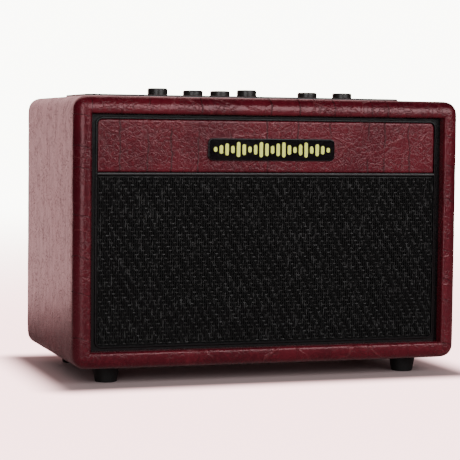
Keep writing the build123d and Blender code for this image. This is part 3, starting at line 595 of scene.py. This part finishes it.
def thread_set(name, own, crossed, level, upright, thread):
    """Four neighbouring threads of the twill, repeated across the cloth.

    own and crossed are the number, pitch and first edge of these threads and of those that they cross.
    An upright thread dips under every fourth level one."""
    count, pitch, first = own
    crossings, cross_pitch, cross_first = crossed
    curve = bpy.data.curves.new(name, "CURVE")
    curve.dimensions = "3D"
    curve.resolution_u = 2
    curve.bevel_depth = WARP_R if upright else WEFT_R
    curve.bevel_resolution = 1
    for index in range(TWILL):
        across = first + (index + 0.5) * pitch
        spline = curve.splines.new("NURBS")
        spline.points.add(crossings - 1)
        for k, point in enumerate(spline.points):
            along = cross_first + (k + 0.5) * cross_pitch
            dips = (index + k) % TWILL == 0
            over = 1 if dips != upright else -1
            depth = level - over * THREAD_WAVE / 2
            point.co = (across, depth, along, 1.0) if upright else (along, depth, across, 1.0)
        spline.order_u = 3
        spline.use_endpoint_u = True
    first_four = bpy.data.objects.new(name, curve)
    bpy.context.scene.collection.objects.link(first_four)
    row = first_four.modifiers.new("across", "ARRAY")
    row.count = count // TWILL
    row.use_relative_offset = False
    row.use_constant_offset = True
    row.constant_offset_displace = (TWILL * pitch, 0, 0) if upright else (0, 0, TWILL * pitch)
    return add_piece(name, solid_mesh(first_four), thread)


def solid_mesh(helper):
    """The helper's finished shape as a mesh; the helper itself is removed."""
    ready = helper.evaluated_get(bpy.context.evaluated_depsgraph_get())
    mesh = bpy.data.meshes.new_from_object(ready)
    bpy.data.objects.remove(helper)
    return mesh


def grille_cloth(thread):
    """Coarse twill stretched in front of a fine black scrim."""
    low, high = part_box("grille_cloth")
    upright = (WARPS, (high.x - low.x) / WARPS, low.x)
    level = (WEFTS, (high.z - low.z) / WEFTS, low.z)
    warp = thread_set("grille_warp", upright, level, low.y, True, thread)
    # Weft thread; its paler colour also paints its glints
    crossing = spun("black_grille_weft", (0.022, 0.021, 0.020), (0.055, 0.055, 0.055), (0.5, 1.0, 1.0), 0.52)
    weft = thread_set("grille_weft", level, upright, low.y, False, crossing)
    columns = spaced(low.x, high.x, SCRIM_STEP) + [high.x]
    rows = spaced(low.z, high.z, SCRIM_STEP) + [high.z]
    verts = [(x, low.y + SCRIM_BEHIND, z) for z in rows for x in columns]
    mesh = cage("grille_scrim", verts, grid(len(rows), len(columns)))
    dark = spun("black_scrim", (0.002, 0.002, 0.002), (0.006, 0.006, 0.006))
    scrim = add_piece("grille_scrim", mesh, dark)
    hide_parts("grille_cloth")


# --- Knob pointers ---

def pointers():
    """Pale line in the groove of each knob."""
    paint = moulded("white_pointer_paint", (0.72, 0.71, 0.68), 0.45, 1200.0, 0.00003, 0.1)
    for joint in frame["joints"]:
        if joint["type"] != "hinge":
            continue
        knob = joint["name"].replace("_turn", "_knob")
        name = f"{knob}_pointer"
        low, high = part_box(knob)
        centre = (low + high) / 2
        x, y, z = centre.x, centre.y - POINTER_OUT, high.z - POINTER_DEEP
        wide, long = POINTER_WIDTH / 2, POINTER_LENGTH / 2
        verts = [(x + a * wide, y + b * long, z) for a, b in ((-1, -1), (1, -1), (1, 1), (-1, 1))]
        piece = add_piece(name, cage(name, verts, [(0, 1, 2, 3)]), paint, joint["child"])
        thick = piece.modifiers.new("inlay", "SOLIDIFY")
        thick.thickness = POINTER_DEEP
        thick.offset = -1.0
        edge = piece.modifiers.new("edge", "BEVEL")
        edge.width = POINTER_EDGE
        edge.segments = 2


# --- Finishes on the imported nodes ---

def dress_nodes():
    """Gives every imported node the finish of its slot."""
    made = {slot: finish() for slot, finish in FINISHES.items()}
    for kind, table in ((moulded, MOULDED), (plated, PLATED), (spun, SPUN)):
        made.update({slot: kind(*values) for slot, values in table.items()})
    for row in frame["record"]["subparts"]:
        mesh = frame["nodes"][row["node"]].data
        if not mesh.materials:
            mesh.materials.append(None)
        for index in range(len(mesh.materials)):
            mesh.materials[index] = made[row["material_slot"]]
    return made


# --- Studio ---

def floor():
    """Pale floor, in shadow beside the cabinet, with a painted pink reflection of the cabinet near it that fades
    into the backdrop further away.
    """
    corners = [(-FLOOR_HALF, -FLOOR_HALF, 0), (FLOOR_HALF, -FLOOR_HALF, 0),
               (FLOOR_HALF, FLOOR_HALF, 0), (-FLOOR_HALF, FLOOR_HALF, 0)]
    mesh = cage("studio_floor", corners, [(0, 1, 2, 3)])
    piece = bpy.data.objects.new("studio_floor", mesh)
    bpy.context.scene.collection.objects.link(piece)
    finish = Finish("pale_floor", Roughness=0.8, Base_Color=FLOOR_PAINT)
    seen = finish.node("ShaderNodeLightPath", output="Is Camera Ray")
    x, y = finish.axes(names="XY")
    beside = (abs(x) - HALF_X).at_least(0.0)
    before = (abs(y) - CAD_BOX[1].y).at_least(0.0)
    clear = (beside * beside + before * before).root()
    away = clear.ramp(0.0, SHADOW_REACH)
    # The floor behind the cabinet lights its gloss as the room behind it does
    behind = y.ramp(0.15, 0.8) * (abs(x) - 0.45 * y).ramp(0.1, 0.4, 1.0, 0.0)
    # Painted pink reflection of the cabinet near it, fading to the backdrop's colour further away
    colour = finish.mix(clear.ramp(*FLOOR_FADE), FLOOR_PAINTED_REFLECTION, BACKDROP[:3])
    ground = Signal(finish.tree, finish.shader.outputs[0])
    room_light = {"Color": ROOM_TINT, "Strength": BACKDROP_MIRRORED}
    mirrored = finish.node("ShaderNodeEmission", None, room_light)
    glow = finish.node("ShaderNodeEmission", None, {"Color": colour, "Strength": BACKDROP_SEEN})
    hidden = away * behind * (1 - seen)
    mixed = finish.node("ShaderNodeMixShader", None, {0: hidden, 1: ground, 2: mirrored})
    mixed = finish.node("ShaderNodeMixShader", None, {0: away * seen, 1: mixed, 2: glow})
    finish.tree.links.new(mixed.socket, finish.tree.nodes["Material Output"].inputs["Surface"])
    mesh.materials.append(finish.material)


def room():
    """White backdrop. Only its part behind the cabinet lights it, so that gloss elsewhere shows the lamps."""
    world = bpy.data.worlds.new("studio_room")
    world.use_nodes = True
    tree = world.node_tree
    direction = add_node(tree, "ShaderNodeTexCoord", output="Generated")
    across, back = [add_node(tree, "ShaderNodeSeparateXYZ", None, {0: direction}, axis) for axis in "XY"]
    seen = add_node(tree, "ShaderNodeLightPath", output="Is Camera Ray")
    behind = abs(across).ramp(0.30, 0.52, 1.0, 0.0) * back.ramp(0.35, 0.65)
    strength = (seen * BACKDROP_SEEN).at_least(behind * BACKDROP_MIRRORED + ROOM_DARK)
    background = tree.nodes["Background"]
    tints = {0: seen, 6: ROOM_TINT, 7: BACKDROP}
    colour = add_node(tree, "ShaderNodeMix", {"data_type": "RGBA"}, tints, 2)
    tree.links.new(colour.socket, background.inputs["Color"])
    tree.links.new(strength.socket, background.inputs["Strength"])
    bpy.context.scene.world = world


def softbox(name, azimuth, elevation, distance, width, height, radiance):
    """Area lamp aimed at the cabinet's middle. Azimuth 0 is straight in front, and positive to the right."""
    centre = (CAD_BOX[0] + CAD_BOX[1]) / 2
    a, e = math.radians(azimuth), math.radians(elevation)
    place = centre + distance * Vector((math.sin(a) * math.cos(e), -math.cos(a) * math.cos(e), math.sin(e)))
    lamp = bpy.data.lights.new(name, "AREA")
    lamp.shape = "RECTANGLE"
    lamp.size = width
    lamp.size_y = height
    lamp.energy = radiance * math.pi * width * height
    stand = bpy.data.objects.new(name, lamp)
    turn = (centre - place).to_track_quat("-Z", "Y").to_matrix().to_4x4()
    stand.matrix_world = Matrix.Translation(place) @ turn
    bpy.context.scene.collection.objects.link(stand)


def camera():
    low, high = CAD_BOX
    aim = (low + high) / 2 + CAMERA_AIM
    level = math.cos(CAMERA_DOWN)
    forward = Vector((math.sin(CAMERA_TURN) * level, math.cos(CAMERA_TURN) * level, -math.sin(CAMERA_DOWN)))
    data = bpy.data.cameras.new("camera")
    data.lens = CAMERA_LENS
    data.clip_start = CAMERA_NEAR
    view = bpy.data.objects.new("camera", data)
    turn = forward.to_track_quat("-Z", "Y").to_matrix().to_4x4() @ Matrix.Rotation(CAMERA_ROLL, 4, "Z")
    view.matrix_world = Matrix.Translation(aim - forward * CAMERA_DISTANCE) @ turn
    bpy.context.scene.collection.objects.link(view)
    bpy.context.scene.camera = view


made = dress_nodes()
covering(made["oxblood_vinyl"])
fascia(made["oxblood_vinyl"])
grille_cloth(made["grille_fabric"])
pointers()
floor()
room()
for lamp_name, lamp_values in LAMPS.items():
    softbox(lamp_name, **lamp_values)
camera()
